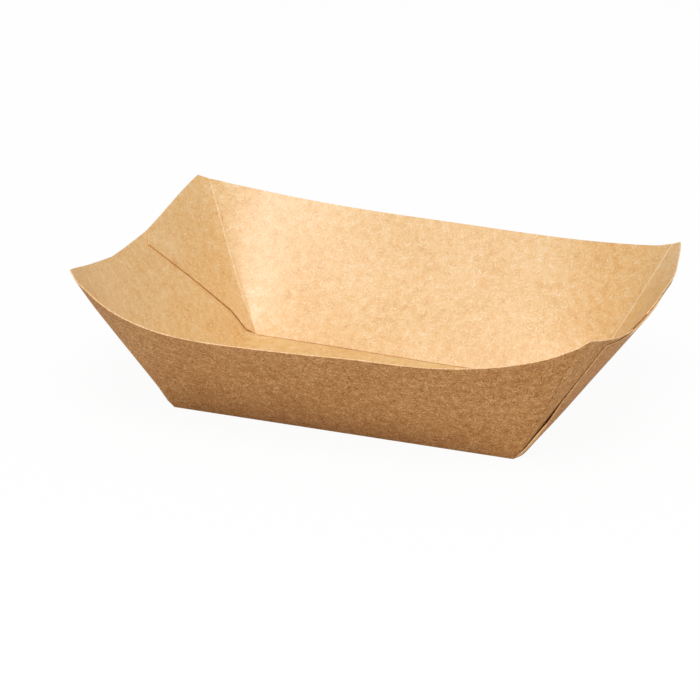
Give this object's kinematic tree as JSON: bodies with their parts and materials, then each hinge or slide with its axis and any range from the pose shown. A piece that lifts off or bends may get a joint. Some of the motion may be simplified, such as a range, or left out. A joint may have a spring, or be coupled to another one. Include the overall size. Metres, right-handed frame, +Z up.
{
  "type": "paper food tray",
  "caption": "Open takeaway food tray folded from one sheet of plain kraft board, with flared walls, swept rims and glued corner flaps.",
  "frame": {"origin": "middle of the floor's underside, on the surface that the tray stands on", "axes": "+X along the tray's length, +Y across its width, +Z up towards the open rim"},
  "size_m": [0.1864, 0.1424, 0.0501],
  "materials": {
    "kraft_board": "matt brown kraft board with fine fibres, lighter inside than outside"
  },
  "bodies": {
    "root": {"food_tray": "kraft_board"}
  },
  "joints": []
}
